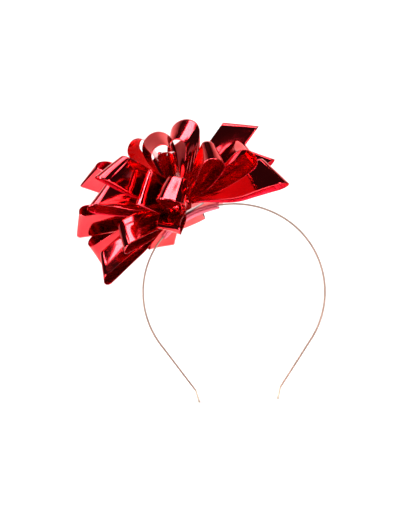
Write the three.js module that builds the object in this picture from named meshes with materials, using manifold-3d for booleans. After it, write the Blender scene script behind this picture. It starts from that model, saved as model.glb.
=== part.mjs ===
// Gift bow on a headband: a star bow of foil ribbon loops, clamped in felt on a thin metal band.
//
// Frame: millimetres, +Z up. The headband lies in the XZ plane, and -Y is the side that the bow
// is looked at from. The origin is on the inner face of the band at the middle of the crown,
// where it rests on the head.
//
// The bow stands on the band beside the crown, square to it, and has a frame of its own:
// u runs along the band, v across it towards the viewer, and n stands away from the head.

import * as THREE from 'three';
import { mergeVertices } from 'three/addons/utils/BufferGeometryUtils.js';
import Module from 'manifold-3d';

const wasm = await Module();
wasm.setup();

const degrees = (angle) => (angle * Math.PI) / 180;

// ---- Driving dimensions: millimetres, and angles in radians ----

const CLEARANCE = 0.3; // kept between pieces that touch
const WELD = 1e-4; // points nearer than this are one point

// Headband: a flat spring strip, bent on the flat
const STRIP_WIDTH = 5;
const STRIP_THICKNESS = 1.1;
const CROWN_RADIUS = 65; // to the middle of the strip
const CROWN_TURN = degrees(33); // from the middle of the crown to where the sides begin
const SIDE_RADIUS = 60;
const SIDE_TURN = degrees(92);
const LEG_LENGTH = 39;
const KINK_RADIUS = 3;
const KINK_TURN = degrees(20); // the tips turn back to lean less inwards
const TIP_LENGTH = 8;
const FLAT_HALF = 3; // the crown's middle facet, each way
const END_ROUNDING = 0.9; // how nearly the strip's ends are half circles

// Mounting: felt discs under and over the strip, then the bow's own card
const BOW_TURN = degrees(27); // round the crown to the left
const FELT_RADIUS = 23;
const LOWER_FELT_THICKNESS = 1.5;
const UPPER_FELT_THICKNESS = 0.9;
const CARD_RADIUS = 14;
const CARD_THICKNESS = 1.1;
const CARD_SIDES = 32;

// Bow
const RIBBON_WIDTH = 25;
const FILM_THICKNESS = 0.25;
const CORE_RADIUS = 6.5;
const CORE_SUNK = 2; // how much of the core's ball is cut off by the card
const CORE_SIDES = 24;
const CORE_STEPS = 8; // from the core's foot to its top
const PINCHED_WIDTH = 2.6; // a loop's width where it meets the core
const ROOT_GAP = 0.5; // from the core to a loop's ends
const NECK = 0.5; // share of a loop's reach over which it widens to its full width
const FOOT_SPREAD = 0.12; // share of a loop's bulge that is left between its ends
const LEG_RISE = 1.3; // how slowly a loop opens from its ends; 1 is a plain sine
const FLARE = 0.25; // how much further a loop opens at its mouth edge

// Staple that holds the core to the card
const STAPLE_WIRE = 0.7;
const STAPLE_SPAN = 6;
const STAPLE_HEIGHT = 8;
const STAPLE_OPENING = 1.2; // between its bent ends
const STAPLE_STEPS = 40;
const WIRE_SEGMENTS = 4;

// Loops, from the band upwards.
// azimuth: round the bow from +u, 90 towards the viewer; elevation: above the card
// reach: core centre to tip, mm; roll: turn of the ribbon about the loop's own axis
// skew: how far its mouth edge leans out; bulge: half the opening, mm; droop: sag at the tip, mm
const LOOPS = [
  // lowest tier, lying out over the felt
  [170, -5, 70, -50, 25, 4, 5],
  [-160, 5, 75, 45, -10, 4, 5],
  [-120, 0, 55, 15, -15, 4, 15],
  [-90, 0, 60, 10, -30, 5, 10],
  [-60, 0, 70, -10, 30, 7, 0],
  [-30, 5, 75, -110, 30, 4, 0],
  [-10, -5, 70, -100, 20, 7, 5],
  [105, -5, 60, -30, 40, 3, 5],
  [140, 0, 60, -60, 35, 4, 0],
  // second tier
  [-170, 20, 75, 45, -20, 4, 0],
  [25, 10, 65, -150, 20, 7, 0],
  [50, 20, 60, -130, 20, 6, 0],
  [90, 10, 65, -130, 40, 8, 0],
  // third tier
  [165, 35, 60, -70, 30, 5, 0],
  [-125, 35, 65, -70, 40, 5, 0],
  [-95, 35, 65, -35, 5, 4, 0],
  [-60, 40, 65, -10, 0, 5, 0],
  [-5, 25, 70, -90, 30, 5, 0],
  [115, 30, 45, -130, 0, 3, 0],
  // top tier
  [130, 45, 65, -120, 30, 6, 0],
  [-150, 45, 75, 75, -30, 5, 0],
  [75, 45, 50, -125, 40, 4, 0],
  [-25, 60, 55, -45, 50, 9, 0],
  [-105, 70, 60, 60, -15, 6, 0],
  [60, 75, 50, 60, 15, 9, 0],
];

// ---- Shared helpers ----

const RED_FILM = [0xc8102e, 0.15, 0.9]; // colour, roughness, metalness
const ROSE_GOLD = [0xc9a08a, 0.3, 1];
const PINK_FELT = [0xd75c74, 0.95, 0];
const WHITE_CARD = [0xe9e4dc, 0.8, 0];
const STEEL = [0xb8bcc0, 0.35, 1];

function piece(name, geometry, [color, roughness, metalness]) {
  const node = new THREE.Mesh(
    geometry,
    new THREE.MeshStandardMaterial({ color, roughness, metalness }),
  );
  node.name = name;
  return node;
}

const mix = (from, to, share) => from + (to - from) * share;

/** Closed solid between a front and a back grid of points; rows x columns faces the front. */
function slab(front, back) {
  const rows = front.length;
  const columns = front[0].length;
  const at = (side, i, j) => (side * rows + i) * columns + j;
  const index = [];
  const quad = (a, b, c, d) => index.push(a, b, c, a, c, d);
  for (let i = 0; i < rows - 1; i += 1) {
    for (let j = 0; j < columns - 1; j += 1) {
      quad(at(0, i, j), at(0, i + 1, j), at(0, i + 1, j + 1), at(0, i, j + 1));
      quad(at(1, i, j), at(1, i, j + 1), at(1, i + 1, j + 1), at(1, i + 1, j));
    }
    quad(at(0, i, 0), at(1, i, 0), at(1, i + 1, 0), at(0, i + 1, 0));
    const j = columns - 1;
    quad(at(0, i, j), at(0, i + 1, j), at(1, i + 1, j), at(1, i, j));
  }
  for (let j = 0; j < columns - 1; j += 1) {
    const i = rows - 1;
    quad(at(0, 0, j), at(0, 0, j + 1), at(1, 0, j + 1), at(1, 0, j));
    quad(at(0, i, j), at(1, i, j), at(1, i, j + 1), at(0, i, j + 1));
  }
  const geometry = new THREE.BufferGeometry().setFromPoints([...front.flat(), ...back.flat()]);
  geometry.setIndex(index);
  geometry.computeVertexNormals();
  return geometry;
}

/** A manifold-3d solid from a closed three.js geometry. */
function toSolid(geometry) {
  const bare = geometry.clone();
  bare.deleteAttribute('normal');
  bare.deleteAttribute('uv');
  const merged = mergeVertices(bare, WELD);
  return new wasm.Manifold(new wasm.Mesh({
    numProp: 3,
    vertProperties: new Float32Array(merged.attributes.position.array),
    triVerts: new Uint32Array(merged.index.array),
  }));
}

function subtract(geometry, tool) {
  const { vertProperties, triVerts } = toSolid(geometry).subtract(toSolid(tool)).getMesh();
  const cut = new THREE.BufferGeometry();
  cut.setAttribute('position', new THREE.BufferAttribute(vertProperties, 3));
  cut.setIndex(new THREE.BufferAttribute(triVerts, 1));
  cut.computeVertexNormals();
  return cut;
}

// ---- Headband ----

const bandBends = [ // right half, from the middle of the crown to the tip
  { radius: CROWN_RADIUS, turn: CROWN_TURN, steps: 7 },
  { radius: SIDE_RADIUS, turn: SIDE_TURN, steps: 18 },
  { straight: LEG_LENGTH, steps: 3 },
  { radius: -KINK_RADIUS, turn: -KINK_TURN, steps: 2 },
  { straight: TIP_LENGTH, steps: 4 },
];
const bendLength = (bend) => bend.straight ?? bend.radius * bend.turn;
const bandHalfLength = bandBends.reduce((sum, bend) => sum + bendLength(bend), 0);

// The crown's middle facet is the face at height 0.
const innerCrownRadius = CROWN_RADIUS - STRIP_THICKNESS / 2;
const crownHeight = CROWN_RADIUS - innerCrownRadius * Math.cos(FLAT_HALF / CROWN_RADIUS);

/** A point at a distance along the strip (left of the crown is negative), off its middle line. */
function bandPoint(distance, y, height) {
  const side = distance < 0 ? -1 : 1;
  let left = Math.abs(distance);
  let angle = 0;
  let x = 0;
  let z = crownHeight;
  for (const bend of bandBends) {
    const length = Math.min(left, bendLength(bend));
    if (bend.straight) {
      x += length * Math.cos(angle);
      z -= length * Math.sin(angle);
    } else {
      const next = angle + length / bend.radius;
      x += bend.radius * (Math.sin(next) - Math.sin(angle));
      z += bend.radius * (Math.cos(next) - Math.cos(angle));
      angle = next;
    }
    left -= length;
  }
  x += height * Math.sin(angle);
  z += height * Math.cos(angle);
  return new THREE.Vector3(side * x, y, z);
}

/** Distances along the right half at which the strip is faceted. */
function bandStations() {
  const stations = [FLAT_HALF];
  let start = 0;
  for (const bend of bandBends) {
    for (let i = 1; i <= bend.steps; i += 1) {
      stations.push(start + (bendLength(bend) * i) / bend.steps);
    }
    start += bendLength(bend);
  }
  return stations;
}

function headband() {
  const right = bandStations();
  const stations = [...right.map((distance) => -distance).reverse(), ...right];
  const round = STRIP_WIDTH / 2;
  const face = (height) => stations.map((distance) => {
    const fromEnd = bandHalfLength - Math.abs(distance);
    const inset = Math.max(round - fromEnd, 0) * END_ROUNDING;
    const half = Math.sqrt(round ** 2 - inset ** 2);
    return [bandPoint(distance, -half, height), bandPoint(distance, half, height)];
  });
  return slab(face(STRIP_THICKNESS / 2), face(-STRIP_THICKNESS / 2));
}

// ---- Mounting ----

const bowDistance = -BOW_TURN * CROWN_RADIUS;
const FELT_ROWS = [-0.99, -0.9, -0.75, -0.5, -0.3, -0.15, 0.15, 0.3, 0.5, 0.75, 0.9, 0.99];
const FELT_COLUMNS = [-1, -0.75, -0.5, -0.25, 0, 0.25, 0.5, 0.75, 1];

/** A disc of felt that follows the strip; height gives a face's height at a distance across. */
function feltDisc(topHeight, bottomHeight) {
  const face = (height) => FELT_ROWS.map((row) => {
    const across = row * FELT_RADIUS;
    const chord = Math.sqrt(FELT_RADIUS ** 2 - across ** 2);
    return FELT_COLUMNS.map((column) => (
      bandPoint(bowDistance + column * chord, -across, height(across))
    ));
  });
  return slab(face(topHeight), face(bottomHeight));
}

const stripTop = STRIP_THICKNESS / 2;
const lowerFeltTop = -stripTop - CLEARANCE;
/** The upper felt lies over the strip and comes down onto the lower felt beside it. */
function upperFeltBottom(across) {
  const beside = Math.abs(across) > STRIP_WIDTH;
  return beside ? lowerFeltTop + CLEARANCE : stripTop + CLEARANCE;
}

// Heights above the strip's middle line, along the bow's own axis
const cardBottom = stripTop + CLEARANCE + UPPER_FELT_THICKNESS + CLEARANCE;
const coreBottom = cardBottom + CARD_THICKNESS + CLEARANCE;
const coreCentre = coreBottom + CORE_RADIUS - CORE_SUNK;

function cardDisc() {
  const geometry = new THREE.CylinderGeometry(CARD_RADIUS, CARD_RADIUS, CARD_THICKNESS, CARD_SIDES);
  return geometry.rotateX(Math.PI / 2).translate(0, 0, cardBottom + CARD_THICKNESS / 2);
}

/** Gathered ribbon at the heart of the bow, a ball standing on the card. */
function coreBall() {
  const low = Math.asin((coreBottom - coreCentre) / CORE_RADIUS);
  const profile = [new THREE.Vector2(0, coreBottom)];
  for (let i = 0; i <= CORE_STEPS; i += 1) {
    const rise = mix(low, Math.PI / 2, i / CORE_STEPS);
    const radius = i < CORE_STEPS ? CORE_RADIUS * Math.cos(rise) : 0;
    profile.push(new THREE.Vector2(radius, coreCentre + CORE_RADIUS * Math.sin(rise)));
  }
  return new THREE.LatheGeometry(profile, CORE_SIDES).rotateX(Math.PI / 2);
}

/** Staple: a wire crown inside the core, two legs through the card, ends bent under it. */
function staple(wireRadius, overrun) {
  const half = STAPLE_SPAN / 2;
  const foot = cardBottom - CLEARANCE - STAPLE_WIRE / 2;
  const top = foot + STAPLE_HEIGHT;
  const inner = STAPLE_OPENING / 2 - overrun;
  const path = new THREE.CurvePath();
  const corners = [
    [-inner, foot], [-half, foot], [-half, top], [half, top], [half, foot], [inner, foot],
  ];
  const points = corners.map(([x, z]) => new THREE.Vector3(x, 0, z));
  for (let i = 1; i < points.length; i += 1) {
    path.add(new THREE.LineCurve3(points[i - 1], points[i]));
  }
  const section = new THREE.Shape().absarc(0, 0, wireRadius, 0, 2 * Math.PI);
  const curve = new THREE.CatmullRomCurve3(path.getSpacedPoints(STAPLE_STEPS), false, 'centripetal');
  return new THREE.ExtrudeGeometry(section, {
    steps: STAPLE_STEPS, extrudePath: curve, bevelEnabled: false, curveSegments: WIRE_SEGMENTS,
  });
}

// ---- Loops ----

const LEG_STEPS = 8;
const TIP_STEPS = 5; // a quarter turn of the tip
const ACROSS = [-1, 0, 1];
const SLOPE_STEP = 0.1; // over which the film's slope is measured

/** Unit vectors of a loop: out to its tip, across the ribbon, and the way it opens. */
function loopAxes(azimuth, elevation, roll) {
  const [turn, rise, twist] = [azimuth, elevation, roll].map(degrees);
  const level = new THREE.Vector3(Math.cos(turn), -Math.sin(turn), 0);
  const up = new THREE.Vector3(0, 0, 1);
  const out = level.clone().multiplyScalar(Math.cos(rise)).addScaledVector(up, Math.sin(rise));
  const round = new THREE.Vector3(Math.sin(turn), Math.cos(turn), 0);
  const climb = level.clone().multiplyScalar(-Math.sin(rise)).addScaledVector(up, Math.cos(rise));
  const across = round.multiplyScalar(Math.cos(twist)).addScaledVector(climb, Math.sin(twist));
  const open = new THREE.Vector3().crossVectors(across, out);
  return { out, across, open };
}

/**
 * Side view of a loop at one line across the ribbon: how far out and how far open it is.
 * t runs from -1, one end at the core, through 0 at the tip, to 1 at the other end.
 */
function loopOutline(t, length, bulge) {
  const share = LEG_STEPS / (LEG_STEPS + TIP_STEPS);
  const fromTip = Math.abs(t);
  const side = Math.sign(t);
  if (fromTip < 1 - share) {
    const turn = ((Math.PI / 2) * fromTip) / (1 - share);
    return [length - bulge * (1 - Math.cos(turn)), side * bulge * Math.sin(turn)];
  }
  const along = (1 - fromTip) / share;
  const rise = Math.sin((Math.PI / 2) * along) ** LEG_RISE;
  return [(length - bulge) * along, side * bulge * mix(FOOT_SPREAD, 1, rise)];
}

/** One loop of film in the bow's frame: out from the core, over its tip and back. */
function loopGeometry([azimuth, elevation, reach, roll, skew, bulge, droop]) {
  const { out, across, open } = loopAxes(azimuth, elevation, roll);
  const root = CORE_RADIUS + ROOT_GAP;
  const point = (t, s) => {
    const [x, z] = loopOutline(t, reach - root, bulge * (1 + FLARE * s));
    const run = x / (reach - root);
    const spread = THREE.MathUtils.smoothstep(run, 0, NECK);
    const side = (s * mix(PINCHED_WIDTH, RIBBON_WIDTH, spread)) / 2;
    const lean = degrees(skew) * spread;
    return new THREE.Vector3(0, 0, coreCentre - droop * run ** 2)
      .addScaledVector(out, root + x + side * Math.sin(lean))
      .addScaledVector(across, side * Math.cos(lean))
      .addScaledVector(open, z);
  };
  const steps = LEG_STEPS + TIP_STEPS;
  const near = SLOPE_STEP / steps;
  const outer = [];
  const inner = [];
  for (let i = -steps; i <= steps; i += 1) {
    const t = i / steps;
    const pairs = ACROSS.map((s) => {
      const along = point(Math.max(t - near, -1), s).sub(point(Math.min(t + near, 1), s));
      const aside = point(t, s + SLOPE_STEP).sub(point(t, s - SLOPE_STEP));
      const normal = along.cross(aside).setLength(FILM_THICKNESS / 2);
      return [point(t, s).sub(normal), point(t, s).add(normal)];
    });
    outer.push(pairs.map((pair) => pair[0]));
    inner.push(pairs.map((pair) => pair[1]));
  }
  return slab(outer, inner);
}

// ---- Assembly ----

const object = new THREE.Group();
object.add(piece('headband_strip', headband(), ROSE_GOLD));

// The bow's frame: its origin on the strip's middle line, its n axis along the strip's normal
const bow = new THREE.Group();
bow.position.copy(bandPoint(bowDistance, 0, 0));
bow.rotation.y = -BOW_TURN;
object.add(bow);

const stapleHole = staple(STAPLE_WIRE / 2 + CLEARANCE, CLEARANCE);
object.add(piece('lower_felt_disc', feltDisc(
  () => lowerFeltTop,
  () => lowerFeltTop - LOWER_FELT_THICKNESS,
), PINK_FELT));
const upperFelt = feltDisc(
  (across) => upperFeltBottom(across) + UPPER_FELT_THICKNESS,
  upperFeltBottom,
);
bow.updateMatrix();
const staplePocket = stapleHole.clone().applyMatrix4(bow.matrix);
object.add(piece('upper_felt_disc', subtract(upperFelt, staplePocket), PINK_FELT));
bow.add(piece('bow_card', subtract(cardDisc(), stapleHole), WHITE_CARD));
bow.add(piece('gathered_core', subtract(coreBall(), stapleHole), RED_FILM));
bow.add(piece('core_staple', staple(STAPLE_WIRE / 2, 0), STEEL));
LOOPS.forEach((loop, i) => {
  const number = String(i + 1).padStart(2, '0');
  bow.add(piece(`ribbon_loop_${number}`, loopGeometry(loop), RED_FILM));
});

export default object;
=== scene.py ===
"""Gift bow on a headband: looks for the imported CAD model.

Metres, +Z up, origin on the inner face of the band at the middle of its crown. The bow has a
frame of its own on the band: u along the band, v across it away from the viewer, n out from the
head. Lengths that repeat the CAD's are written in millimetres and scaled by MM.
"""
import math

import bpy
import numpy as np
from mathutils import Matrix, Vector


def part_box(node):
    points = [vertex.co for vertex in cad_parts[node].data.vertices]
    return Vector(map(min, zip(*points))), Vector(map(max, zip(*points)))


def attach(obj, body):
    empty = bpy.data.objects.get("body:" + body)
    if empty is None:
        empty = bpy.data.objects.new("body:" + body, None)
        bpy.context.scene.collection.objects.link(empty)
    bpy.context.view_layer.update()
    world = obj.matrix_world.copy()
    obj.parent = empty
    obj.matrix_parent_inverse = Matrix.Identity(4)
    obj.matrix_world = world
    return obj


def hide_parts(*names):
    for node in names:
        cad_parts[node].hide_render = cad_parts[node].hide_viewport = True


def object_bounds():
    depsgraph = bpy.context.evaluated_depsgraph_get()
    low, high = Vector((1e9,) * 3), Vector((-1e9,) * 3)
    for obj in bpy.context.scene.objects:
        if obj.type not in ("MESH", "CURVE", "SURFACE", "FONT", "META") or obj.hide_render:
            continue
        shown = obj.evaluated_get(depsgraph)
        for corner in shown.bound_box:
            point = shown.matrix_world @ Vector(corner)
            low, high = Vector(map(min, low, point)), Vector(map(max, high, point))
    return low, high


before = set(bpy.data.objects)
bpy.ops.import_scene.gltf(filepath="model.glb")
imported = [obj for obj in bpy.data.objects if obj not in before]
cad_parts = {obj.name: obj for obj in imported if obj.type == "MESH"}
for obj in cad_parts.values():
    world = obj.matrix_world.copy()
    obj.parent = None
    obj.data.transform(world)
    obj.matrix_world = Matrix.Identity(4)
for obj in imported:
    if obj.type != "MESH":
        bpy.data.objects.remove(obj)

cad_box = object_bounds()
MM = 0.001

# ---- Camera: it looks level along +Y and leans a little ----

CAMERA_DISTANCE = 1.2
CAMERA_AIM = (-0.017, 0.0, -0.037)
CAMERA_LEAN = math.radians(2.4)
CAMERA_LENS, SENSOR_LONG_SIDE = 120.6, 36.0  # mm

camera = bpy.data.objects.new("camera", bpy.data.cameras.new("camera"))
bpy.context.scene.collection.objects.link(camera)
bpy.context.scene.camera = camera
camera.data.lens = CAMERA_LENS
camera.data.sensor_width = SENSOR_LONG_SIDE
camera.location = (CAMERA_AIM[0], -CAMERA_DISTANCE, CAMERA_AIM[2])
camera.rotation_euler = (math.radians(90), CAMERA_LEAN, 0)

# ---- Dimensions that the CAD source also has, mm and radians ----

CLEARANCE = 0.3
STRIP_WIDTH, STRIP_THICKNESS = 5.0, 1.1
CROWN_RADIUS, CROWN_TURN = 65.0, math.radians(33)
SIDE_RADIUS, SIDE_TURN = 60.0, math.radians(92)
LEG_LENGTH = 39.0
KINK_RADIUS, KINK_TURN = 3.0, math.radians(20)
TIP_LENGTH = 8.0
FLAT_HALF = 3.0
BOW_TURN = math.radians(27)
FELT_RADIUS = 23.0
LOWER_FELT_THICKNESS, UPPER_FELT_THICKNESS = 1.5, 0.9
CARD_RADIUS, CARD_THICKNESS = 14.0, 1.1
RIBBON_WIDTH = 25.0
CORE_RADIUS, CORE_SUNK = 6.5, 2.0
PINCHED_WIDTH = 2.6
NECK = 0.5  # share of a loop's length over which it widens
FOOT_SPREAD = 0.12
FLARE = 0.25
ROOT_GAP = 0.5  # between the core and each loop
LEG_RISE = 1.3
LEG_SHARE = 8 / 13  # of a loop's half, the rest is its tip

# azimuth, elevation, reach, roll, skew, bulge, droop
LOOPS = [
    # lowest tier, lying out over the felt
    [170, -5, 70, -50, 25, 4, 5],
    [-160, 5, 75, 45, -10, 4, 5],
    [-120, 0, 55, 15, -15, 4, 15],
    [-90, 0, 60, 10, -30, 5, 10],
    [-60, 0, 70, -10, 30, 7, 0],
    [-30, 5, 75, -110, 30, 4, 0],
    [-10, -5, 70, -100, 20, 7, 5],
    [105, -5, 60, -30, 40, 3, 5],
    [140, 0, 60, -60, 35, 4, 0],
    # second tier
    [-170, 20, 75, 45, -20, 4, 0],
    [25, 10, 65, -150, 20, 7, 0],
    [50, 20, 60, -130, 20, 6, 0],
    [90, 10, 65, -130, 40, 8, 0],
    # third tier
    [165, 35, 60, -70, 30, 5, 0],
    [-125, 35, 65, -70, 40, 5, 0],
    [-95, 35, 65, -35, 5, 4, 0],
    [-60, 40, 65, -10, 0, 5, 0],
    [-5, 25, 70, -90, 30, 5, 0],
    [115, 30, 45, -130, 0, 3, 0],
    # top tier
    [130, 45, 65, -120, 30, 6, 0],
    [-150, 45, 75, 75, -30, 5, 0],
    [75, 45, 50, -125, 40, 4, 0],
    [-25, 60, 55, -45, 50, 9, 0],
    [-105, 70, 60, 60, -15, 6, 0],
    [60, 75, 50, 60, 15, 9, 0],
]

# ---- The band's path ----

BENDS = [
    ("turn", CROWN_RADIUS, CROWN_TURN),
    ("turn", SIDE_RADIUS, SIDE_TURN),
    ("line", LEG_LENGTH, 0.0),
    ("turn", -KINK_RADIUS, -KINK_TURN),
    ("line", TIP_LENGTH, 0.0),
]


def bend_length(bend):
    return bend[1] if bend[0] == "line" else bend[1] * bend[2]


BAND_HALF = sum(bend_length(b) for b in BENDS)
CROWN_HEIGHT = (
    CROWN_RADIUS - (CROWN_RADIUS - STRIP_THICKNESS / 2) * math.cos(FLAT_HALF / CROWN_RADIUS)
)


def band_point(distance, y, height):
    """A point at a distance along the strip, left of the crown negative, off its middle line."""
    side = -1 if distance < 0 else 1
    left, angle, x, z = abs(distance), 0.0, 0.0, CROWN_HEIGHT
    for bend in BENDS:
        length = min(left, bend_length(bend))
        if bend[0] == "line":
            x += length * math.cos(angle)
            z -= length * math.sin(angle)
        else:
            after = angle + length / bend[1]
            x += bend[1] * (math.sin(after) - math.sin(angle))
            z += bend[1] * (math.cos(after) - math.cos(angle))
            angle = after
        left -= length
    return (side * (x + height * math.sin(angle)), y, z + height * math.cos(angle))


STRIP_TOP = STRIP_THICKNESS / 2
LOWER_FELT_TOP = -STRIP_TOP - CLEARANCE
CARD_BOTTOM = STRIP_TOP + CLEARANCE + UPPER_FELT_THICKNESS + CLEARANCE
CORE_BOTTOM = CARD_BOTTOM + CARD_THICKNESS + CLEARANCE
CORE_CENTRE = CORE_BOTTOM + CORE_RADIUS - CORE_SUNK
BOW_DISTANCE = -BOW_TURN * CROWN_RADIUS
BOW_ORIGIN = np.array(band_point(BOW_DISTANCE, 0, 0))
BOW_AXES = np.array([
    [math.cos(BOW_TURN), 0, math.sin(BOW_TURN)],
    [0, 1, 0],
    [-math.sin(BOW_TURN), 0, math.cos(BOW_TURN)],
])


def from_bow(points):
    """Points in the bow's frame, mm, to the part's frame, mm."""
    return points @ BOW_AXES + BOW_ORIGIN


# ---- Meshes ----


def add_piece(name, points, faces, materials, face_materials=None):
    """A smooth-shaded mesh object from points in mm in the part's frame."""
    mesh = bpy.data.meshes.new(name)
    mesh.from_pydata([tuple(p) for p in np.asarray(points, float) * MM], [], faces)
    mesh.shade_smooth()
    for material in materials:
        mesh.materials.append(material)
    if face_materials is not None:
        mesh.polygons.foreach_set("material_index", face_materials)
    mesh.update()
    obj = bpy.data.objects.new(name, mesh)
    bpy.context.scene.collection.objects.link(obj)
    return obj


def sheet_faces(rows, columns, start, flip):
    """Faces of a grid of points."""
    faces = []
    for i in range(rows - 1):
        for j in range(columns - 1):
            a = start + i * columns + j
            quad = (a, a + columns, a + columns + 1, a + 1)
            faces.append(quad[::-1] if flip else quad)
    return faces


def tube_faces(rings, spokes, flip=False):
    """Faces between closed rings of points."""
    faces = []
    for i in range(rings - 1):
        for j in range(spokes):
            a, b = i * spokes + j, i * spokes + (j + 1) % spokes
            c, d = b + spokes, a + spokes
            faces.append((a, d, c, b) if flip else (a, b, c, d))
    return faces


def slab(outer, inner):
    """Points and faces of a closed slab between two grids, and each face's material index."""
    rows, columns = outer.shape[:2]
    count = rows * columns
    faces = sheet_faces(rows, columns, 0, False)
    parts = [0] * len(faces)
    back = sheet_faces(rows, columns, count, True)
    faces += back
    parts += [1] * len(back)
    edge = [i * columns for i in range(rows)]
    edge += [(rows - 1) * columns + j for j in range(1, columns)]
    edge += [i * columns + columns - 1 for i in range(rows - 2, -1, -1)]
    edge += [j for j in range(columns - 2, 0, -1)]
    for a, b in zip(edge, edge[1:] + edge[:1]):
        faces.append((b, a, a + count, b + count))
        parts.append(0)
    return np.concatenate([outer.reshape(-1, 3), inner.reshape(-1, 3)]), faces, parts


def smoothstep(x, low, high):
    x = np.clip((x - low) / (high - low), 0, 1)
    return x * x * (3 - 2 * x)


# ---- Materials ----

FELT_DARK, FELT_LIGHT, FELT_FIBRE = (0.74, 0.06, 0.12, 1), (0.84, 0.11, 0.17, 1), (0.90, 0.19, 0.25, 1)
GOLD_DARK, GOLD_LIGHT, GOLD_TIP = (0.25, 0.155, 0.12, 1), (0.33, 0.21, 0.165, 1), (0.55, 0.45, 0.35, 1)
CARD_DARK, CARD_LIGHT = (0.80, 0.77, 0.71, 1), (0.90, 0.88, 0.84, 1)
STEEL_DARK, STEEL_LIGHT = (0.42, 0.43, 0.45, 1), (0.58, 0.59, 0.61, 1)
PAPER_DARK, PAPER_LIGHT = (0.93, 0.93, 0.93, 1), (0.96, 0.96, 0.96, 1)
# The gold's tip colour starts and is full at these heights over the band's lowest point, metres
TIP_STARTS, TIP_FULL = 0.0105, 0.0065


class Nodes:
    """Short forms for building a node tree."""

    def __init__(self, name):
        self.material = bpy.data.materials.new(name)
        self.material.use_nodes = True
        self.tree = self.material.node_tree
        self.shader = self.tree.nodes["Principled BSDF"]

    def add(self, kind, **values):
        node = self.tree.nodes.new(kind)
        for key, value in values.items():
            if key in node.inputs:
                node.inputs[key].default_value = value
            else:
                setattr(node, key, value)
        return node

    def link(self, source, target):
        self.tree.links.new(source, target)

    def place(self, scale=(1, 1, 1)):
        """Object coordinates, in metres in the part's frame, scaled."""
        coordinates = self.add("ShaderNodeTexCoord")
        mapping = self.add("ShaderNodeMapping", Scale=scale)
        self.link(coordinates.outputs["Object"], mapping.inputs["Vector"])
        return mapping.outputs["Vector"]

    def noise(self, vector, scale, detail=2.0, roughness=0.5, distortion=0.0):
        node = self.add(
            "ShaderNodeTexNoise", Scale=scale, Detail=detail, Roughness=roughness, Distortion=distortion
        )
        self.link(vector, node.inputs["Vector"])
        return node.outputs["Fac"]

    def spread(self, value, low, high, to_low=0.0, to_high=1.0):
        """A value from low to high, stretched to to_low to to_high."""
        node = self.add("ShaderNodeMapRange")
        node.inputs["From Min"].default_value = low
        node.inputs["From Max"].default_value = high
        node.inputs["To Min"].default_value = to_low
        node.inputs["To Max"].default_value = to_high
        self.link(value, node.inputs["Value"])
        return node.outputs["Result"]

    def blend(self, factor, first, second):
        """A mix of two colours, each a tuple or a socket."""
        node = self.add("ShaderNodeMix", data_type="RGBA")
        for socket, colour in (("A", first), ("B", second)):
            target = [s for s in node.inputs if s.name == socket and s.type == "RGBA"][0]
            if isinstance(colour, tuple):
                target.default_value = colour
            else:
                self.link(colour, target)
        self.link(factor, node.inputs["Factor"])
        return [s for s in node.outputs if s.type == "RGBA"][0]

    def bump(self, height, distance, strength=1.0, after=None):
        node = self.add("ShaderNodeBump", Distance=distance, Strength=strength)
        self.link(height, node.inputs["Height"])
        if after is not None:
            self.link(after, node.inputs["Normal"])
        return node.outputs["Normal"]

    def set(self, **values):
        for key, value in values.items():
            socket = self.shader.inputs[key.replace("_", " ")]
            if hasattr(value, "is_linked"):
                self.link(value, socket)
            else:
                socket.default_value = value


def foil(name, colour, deep, edge, roughness, coat):
    """Metallised film: mirror-like, faintly mottled, with fine scuffs and soft dents."""
    n = Nodes(name)
    fine = n.noise(n.place(), 900.0, 3.0)
    soft = n.noise(n.place(), 55.0, 1.0)
    scuffs = n.noise(n.place((1, 1, 6)), 260.0, 4.0, 0.7, 0.4)
    n.set(
        Base_Color=n.blend(n.spread(soft, 0.35, 0.65), colour, deep),
        Metallic=1.0,
        Roughness=n.spread(scuffs, 0.3, 0.75, roughness * 0.7, roughness * 1.5),
        Specular_Tint=edge,
        Coat_Weight=coat,
        Coat_Roughness=0.05,
    )
    dents = n.bump(soft, 0.00012)
    n.set(Normal=n.bump(fine, 0.00001, 1.0, dents))
    return n.material


def felt_material():
    n = Nodes("pink_felt")
    fibres = n.noise(n.place((1.0, 1.0, 1.6)), 1500.0, 6.0, 0.75, 1.2)
    tufts = n.noise(n.place(), 260.0, 4.0, 0.6, 0.6)
    patches = n.blend(n.spread(tufts, 0.3, 0.7), FELT_DARK, FELT_LIGHT)
    n.set(
        Base_Color=n.blend(n.spread(fibres, 0.35, 0.8), patches, FELT_FIBRE),
        Roughness=0.95,
        Sheen_Weight=0.05,
        Sheen_Roughness=0.5,
    )
    n.set(Normal=n.bump(fibres, 0.0003, 0.9, n.bump(tufts, 0.0006, 0.7)))
    return n.material


def rose_gold_material():
    """Brushed rose gold strip, paler towards its lowest ends."""
    n = Nodes("rose_gold")
    brushed = n.noise(n.place((1, 30, 1)), 220.0, 4.0, 0.7)
    tarnish = n.noise(n.place(), 60.0, 3.0)
    metal = n.blend(n.spread(tarnish, 0.3, 0.7), GOLD_DARK, GOLD_LIGHT)
    separate = n.add("ShaderNodeSeparateXYZ")
    n.link(n.place(), separate.inputs[0])
    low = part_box("headband_strip")[0][2]
    # paler towards the bottom of the strip, set by height alone
    tip = n.spread(separate.outputs["Z"], low + TIP_STARTS, low + TIP_FULL)
    n.set(
        Base_Color=n.blend(tip, metal, GOLD_TIP),
        Metallic=1.0,
        Roughness=n.spread(brushed, 0.3, 0.7, 0.32, 0.48),
    )
    n.set(Normal=n.bump(brushed, 0.00002, 0.8))
    return n.material


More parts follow.
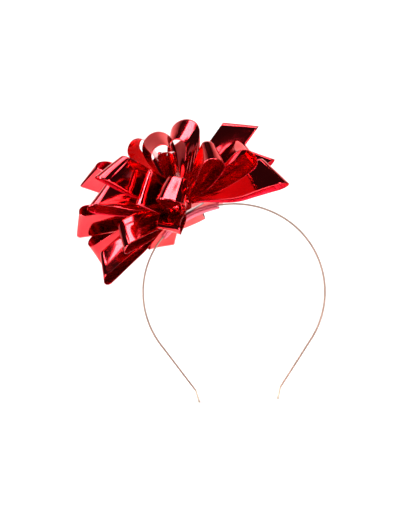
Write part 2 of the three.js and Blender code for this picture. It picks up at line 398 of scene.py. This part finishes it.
def card_material():
    n = Nodes("white_card")
    pulp = n.noise(n.place(), 1100.0, 5.0, 0.7)
    n.set(
        Base_Color=n.blend(n.spread(pulp, 0.3, 0.7), CARD_DARK, CARD_LIGHT),
        Roughness=0.85,
    )
    n.set(Normal=n.bump(pulp, 0.00006))
    return n.material


def steel_material():
    n = Nodes("staple_steel")
    drawn = n.noise(n.place(), 1400.0, 3.0)
    n.set(
        Base_Color=n.blend(n.spread(drawn, 0.3, 0.7), STEEL_DARK, STEEL_LIGHT),
        Metallic=1.0,
        Roughness=n.spread(drawn, 0.3, 0.7, 0.25, 0.45),
    )
    return n.material


FOIL_OUTSIDE = foil(
    "foil_outside", (0.68, 0.016, 0.026, 1), (0.58, 0.010, 0.020, 1), (1.0, 0.35, 0.33, 1), 0.09, 0.50
)
# The inside's lower shine and thin coat are the backing side's own finish; its deeper, purer red is
# partly its own colour and partly painted reflection of the red light the loops throw into each other.
FOIL_INSIDE = foil(
    "foil_inside", (0.60, 0.006, 0.020, 1), (0.52, 0.004, 0.015, 1), (0.9, 0.05, 0.08, 1), 0.24, 0.04
)
FELT = felt_material()
ROSE_GOLD = rose_gold_material()

# ---- Loops of film ----

FILM_THICKNESS = 0.12
GATHER, WARP, CURL = 0.18, 0.25, 0.45  # heights of its fine gathers, slow wave and curl, mm
FILM_STEPS = 78  # along half a loop
FILM_COLUMNS = 21
ALONG_STEP, ACROSS_STEP = 0.25 / FILM_STEPS, 0.04  # for the film's normal
dice = np.random.default_rng(7)


def loop_grids(row):
    """Outer and inner faces of a loop of film in the bow's frame, as grids of points."""
    azimuth, elevation, reach, roll, skew, bulge, droop = row
    turn, rise, twist, lean_full = (math.radians(a) for a in (azimuth, elevation, roll, skew))
    level = np.array([math.cos(turn), -math.sin(turn), 0])
    around = np.array([math.sin(turn), math.cos(turn), 0])
    up = np.array([0, 0, 1.0])
    out = level * math.cos(rise) + up * math.sin(rise)
    climb = -level * math.sin(rise) + up * math.cos(rise)
    across = around * math.cos(twist) + climb * math.sin(twist)
    opening = np.cross(across, out)
    root = CORE_RADIUS + ROOT_GAP
    span = reach - root
    gather_phase, warp_phase, curl_phase = dice.uniform(0, 2 * math.pi, 6)[:3]
    folds = dice.integers(3, 6)

    def point(t, s):
        """t from -1 to 1 along the film, s from -1 to 1 across it."""
        open_half = bulge * (1 + FLARE * s)
        tip_turn = math.pi / 2 * np.clip(np.abs(t) / (1 - LEG_SHARE), 0, 1)
        along = (1 - np.abs(t)) / LEG_SHARE
        leg = np.abs(t) >= 1 - LEG_SHARE
        lift = np.sin(math.pi / 2 * np.clip(along, 0, 1)) ** LEG_RISE
        x = np.where(leg, (span - open_half) * along, span - open_half * (1 - np.cos(tip_turn)))
        opened = np.where(leg, FOOT_SPREAD + (1 - FOOT_SPREAD) * lift, np.sin(tip_turn))
        z = np.sign(t) * open_half * opened
        run = x / span
        spread = smoothstep(run, 0, NECK)
        side = s * (PINCHED_WIDTH + (RIBBON_WIDTH - PINCHED_WIDTH) * spread) / 2
        lean = lean_full * spread
        # gathers that run out from the root and die away, a slow wave of the loop and its curl
        gather = GATHER * (1 - smoothstep(run, 0.25, 0.8)) * smoothstep(run, 0.04, 0.2)
        z = z + gather * np.cos(folds * math.pi * s + gather_phase + t)
        z = z + WARP * smoothstep(run, 0.2, 0.9) * np.sin(2.2 * s + warp_phase + 3.0 * t)
        z = z + CURL * smoothstep(run, 0.25, 0.6) * np.sin(7.0 * t + 0.5 * s + curl_phase)
        base = np.zeros(np.broadcast(t, s).shape + (3,))
        base[..., 2] = CORE_CENTRE - droop * run**2
        return (
            base
            + (root + x + side * np.sin(lean))[..., None] * out
            + (side * np.cos(lean))[..., None] * across
            + z[..., None] * opening
        )

    t = np.linspace(-1, 1, 2 * FILM_STEPS + 1)[:, None]
    s = np.linspace(-1, 1, FILM_COLUMNS)[None, :]
    t, s = np.broadcast_arrays(t, s)
    along = point(np.maximum(t - ALONG_STEP, -1), s) - point(np.minimum(t + ALONG_STEP, 1), s)
    aside = point(t, s + ACROSS_STEP) - point(t, s - ACROSS_STEP)
    normal = np.cross(along, aside)
    normal *= FILM_THICKNESS / 2 / np.linalg.norm(normal, axis=2, keepdims=True)
    middle = point(t, s)
    return middle - normal, middle + normal


for number, row in enumerate(LOOPS, 1):
    outer, inner = loop_grids(row)
    points, faces, parts = slab(outer, inner)
    name = f"ribbon_loop_{number:02d}"
    film = add_piece(
        f"film_{number:02d}", from_bow(points), faces, [FOIL_OUTSIDE, FOIL_INSIDE], parts
    )
    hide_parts(name)
    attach(film, "root")

# ---- Core: the ribbon gathered and twisted at the heart of the bow ----

CORE_PLEATS = 13
PLEAT_DEPTH, PLEAT_TWIST, PLEAT_SHARPNESS = 0.9, 1.6, 0.6
CORE_RINGS, CORE_SPOKES = 40, 156


def core_mesh():
    """A pleated dome, closed at its pole and under its base."""
    rings, spokes = CORE_RINGS, CORE_SPOKES
    points = []
    low = math.asin((CORE_BOTTOM - CORE_CENTRE) / CORE_RADIUS)
    for i in range(rings):
        rise = low + (math.pi / 2 - low) * i / rings
        for j in range(spokes):
            turn = 2 * math.pi * j / spokes
            pleat = abs(math.sin(CORE_PLEATS * turn / 2 + PLEAT_TWIST * rise)) ** PLEAT_SHARPNESS
            radius = CORE_RADIUS - PLEAT_DEPTH * pleat * math.cos(rise)
            points.append((
                radius * math.cos(rise) * math.cos(turn),
                radius * math.cos(rise) * math.sin(turn),
                CORE_CENTRE + radius * math.sin(rise),
            ))
    points.append((0, 0, CORE_CENTRE + CORE_RADIUS))
    points.append((0, 0, CORE_BOTTOM))
    faces = tube_faces(rings, spokes)
    top, bottom = rings * spokes, rings * spokes + 1
    for j in range(spokes):
        k = (j + 1) % spokes
        faces.append(((rings - 1) * spokes + j, (rings - 1) * spokes + k, top))
        faces.append((j, bottom, k))
    return np.array(points), faces


points, faces = core_mesh()
core = add_piece("gathered_film_core", from_bow(points), faces, [FOIL_OUTSIDE])
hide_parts("gathered_core")
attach(core, "root")

# ---- Felt discs, card and staple ----


def rounded_disc(radius, rounding, bottom, top, place, rings=14, spokes=96):
    """A disc with rounded edges; bottom and top give its faces' heights at (x, y)."""
    radii = [radius * math.sin(math.pi / 2 * (i / rings)) for i in range(1, rings + 1)]

    def ring(r, height, drop):
        return [
            (r * math.cos(a), r * math.sin(a), height(r * math.cos(a), r * math.sin(a)) + drop)
            for a in (2 * math.pi * j / spokes for j in range(spokes))
        ]

    def eased(r):
        """How far the rounded edge draws a face in at this radius."""
        over = max(r - (radius - rounding), 0) / rounding
        return rounding * (1 - math.sqrt(max(1 - over * over, 0)))

    rows = [ring(r, bottom, eased(r)) for r in radii]
    rows += [ring(r, top, -eased(r)) for r in reversed(radii)]
    points = [p for row in rows for p in row]
    points += [(0, 0, bottom(0, 0)), (0, 0, top(0, 0))]
    faces = tube_faces(len(rows), spokes)
    last = (len(rows) - 1) * spokes
    for j in range(spokes):
        k = (j + 1) % spokes
        faces.append((j, len(points) - 2, k))
        faces.append((last + k, len(points) - 1, last + j))
    return np.array([place(p) for p in points]), faces


UNDER_ROUNDING, OVER_ROUNDING, CARD_ROUNDING = 0.9, 0.5, 0.15


def on_band(p):
    return band_point(BOW_DISTANCE + p[0], p[1], p[2])


def upper_felt_bottom(x, y):
    """Over the strip, and down onto the lower felt beside it."""
    low, high = LOWER_FELT_TOP + CLEARANCE, STRIP_TOP + CLEARANCE
    return high + (low - high) * float(smoothstep(abs(y), STRIP_WIDTH / 2 + CLEARANCE, STRIP_WIDTH))


felts = (
    ("pink_felt_under", "lower_felt_disc", lambda x, y: LOWER_FELT_TOP - LOWER_FELT_THICKNESS,
     lambda x, y: LOWER_FELT_TOP, UNDER_ROUNDING),
    ("pink_felt_over", "upper_felt_disc", upper_felt_bottom,
     lambda x, y: upper_felt_bottom(x, y) + UPPER_FELT_THICKNESS, OVER_ROUNDING),
)
for name, node, bottom, top, rounding in felts:
    points, faces = rounded_disc(FELT_RADIUS, rounding, bottom, top, on_band)
    felt = add_piece(name, points, faces, [FELT])
    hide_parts(node)
    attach(felt, "root")

points, faces = rounded_disc(
    CARD_RADIUS, CARD_ROUNDING, lambda x, y: CARD_BOTTOM,
    lambda x, y: CARD_BOTTOM + CARD_THICKNESS, lambda p: from_bow(np.array(p)),
)
card = add_piece("card_disc", points, faces, [card_material()])
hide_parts("bow_card")
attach(card, "root")


def repaint(node, material):
    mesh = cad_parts[node].data
    mesh.materials.clear()
    mesh.materials.append(material)


repaint("core_staple", steel_material())

# ---- Headband strip ----

STRIP_ROUNDING = 0.35
CORNER_ANGLES = [math.radians(a) for a in (0, 22.5, 45, 67.5, 90)]
END_BLUNTNESS = 0.97  # 1 would bring the round ends to a point
BAND_STEPS = 420


def strip_mesh():
    """The whole strip with rounded corners and ends."""
    round_end = STRIP_WIDTH / 2
    corner = CORNER_ANGLES
    corners = ((1, 1, corner), (-1, 1, corner[::-1]), (-1, -1, corner), (1, -1, corner[::-1]))
    rows = []
    for i in range(BAND_STEPS + 1):
        distance = BAND_HALF * math.sin(math.pi / 2 * (2 * i / BAND_STEPS - 1))
        inset = max(round_end - (BAND_HALF - abs(distance)), 0)
        half = math.sqrt(max(round_end**2 - (inset * END_BLUNTNESS) ** 2, 0))
        r = min(STRIP_ROUNDING, half * 0.5)
        thick = STRIP_THICKNESS / 2
        row = []
        for sy, sz, angles in corners:
            for a in angles:
                y = sy * (half - r + r * math.cos(a))
                z = sz * (thick - r + r * math.sin(a))
                row.append(band_point(distance, y, z))
        rows.append(row)
    columns = len(rows[0])
    points = [p for row in rows for p in row]
    faces = tube_faces(len(rows), columns, flip=True)
    faces.append(tuple(range(columns)))
    faces.append(tuple(reversed(range((len(rows) - 1) * columns, len(rows) * columns))))
    return points, faces


points, faces = strip_mesh()
strip = add_piece("rose_gold_strip", points, faces, [ROSE_GOLD])
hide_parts("headband_strip")
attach(strip, "root")

# ---- Floor, backdrop and lights ----

FLOOR_Z = cad_box[0].z
STAGE_HALF, WALL_TOP = 3.0, 3.0
BEND_START, BEND_RADIUS = 1.2, 0.6


def sweep():
    """Pale floor that curves up into a backdrop."""
    profile = [(-STAGE_HALF, 0.0), (BEND_START, 0.0)]
    profile += [
        (BEND_START + BEND_RADIUS * math.sin(a), BEND_RADIUS * (1 - math.cos(a)))
        for a in (math.radians(d) for d in range(5, 91, 5))
    ]
    profile += [(BEND_START + BEND_RADIUS, WALL_TOP)]
    points, faces = [], []
    for y, z in profile:
        points += [(-STAGE_HALF, y, FLOOR_Z + z), (STAGE_HALF, y, FLOOR_Z + z)]
    for i in range(len(profile) - 1):
        faces.append((2 * i, 2 * i + 1, 2 * i + 3, 2 * i + 2))
    mesh = bpy.data.meshes.new("sweep")
    mesh.from_pydata(points, [], faces)
    mesh.shade_smooth()
    obj = bpy.data.objects.new("sweep", mesh)
    bpy.context.scene.collection.objects.link(obj)
    return obj


paper = Nodes("paper")
grain = paper.noise(paper.place(), 300.0, 3.0)
paper.set(
    Base_Color=paper.blend(grain, PAPER_DARK, PAPER_LIGHT),
    Roughness=0.9,
)
backdrop = sweep()
backdrop.data.materials.append(paper.material)


def softbox(name, place, aim, width, height, power):
    """A rectangular light that faces its aim."""
    light = bpy.data.lights.new(name, "AREA")
    light.shape = "RECTANGLE"
    light.size, light.size_y = width, height
    light.energy = power
    obj = bpy.data.objects.new(name, light)
    obj.location = place
    obj.rotation_euler = (Vector(aim) - Vector(place)).to_track_quat("-Z", "Y").to_euler()
    bpy.context.scene.collection.objects.link(obj)


BOW = (-0.035, 0.0, 0.02)
BACKDROP = (0.0, 1.5, 0.0)
# name, place, aim, width, height, watts; the tubes draw the narrow bright bands on the film
LIGHTS = [
    ("key", (-0.95, -0.60, 0.42), BOW, 0.20, 0.75, 7),
    ("front_right", (0.70, -0.95, 0.30), BOW, 0.16, 0.9, 6),
    ("key_tube", (-0.93, -0.66, 0.30), BOW, 0.06, 0.80, 10),
    ("left_tube", (-1.10, -0.15, 0.12), BOW, 0.10, 0.90, 11),
    ("right_tube", (0.62, -0.98, 0.30), BOW, 0.03, 0.90, 2.5),
    ("top", (-0.1, -0.15, 1.15), BOW, 0.55, 0.40, 5),
    ("left_low", (-0.98, -0.42, -0.30), BOW, 0.08, 0.60, 6),
    ("fill", (0.1, -1.2, -0.05), BOW, 0.5, 0.18, 1.6),
    ("backdrop_light", (0.0, 0.35, 1.9), BACKDROP, 2.4, 0.5, 42),
]
for light in LIGHTS:
    softbox(*light)

# The room gives the film little to reflect, while the camera sees white past the backdrop
ROOM_COLOUR, ROOM_STRENGTH, SEEN_STRENGTH = (1.0, 0.97, 0.95, 1), 0.03, 1.0
world = bpy.data.worlds.new("studio")
bpy.context.scene.world = world
world.use_nodes = True
sky = world.node_tree
room = sky.nodes["Background"]
room.inputs["Color"].default_value = ROOM_COLOUR
room.inputs["Strength"].default_value = ROOM_STRENGTH
white = sky.nodes.new("ShaderNodeBackground")
white.inputs["Strength"].default_value = SEEN_STRENGTH
seen = sky.nodes.new("ShaderNodeLightPath")
either = sky.nodes.new("ShaderNodeMixShader")
sky.links.new(seen.outputs["Is Camera Ray"], either.inputs["Fac"])
sky.links.new(room.outputs[0], either.inputs[1])
sky.links.new(white.outputs[0], either.inputs[2])
sky.links.new(either.outputs[0], sky.nodes["World Output"].inputs["Surface"])

bpy.context.scene.view_settings.view_transform = "Standard"
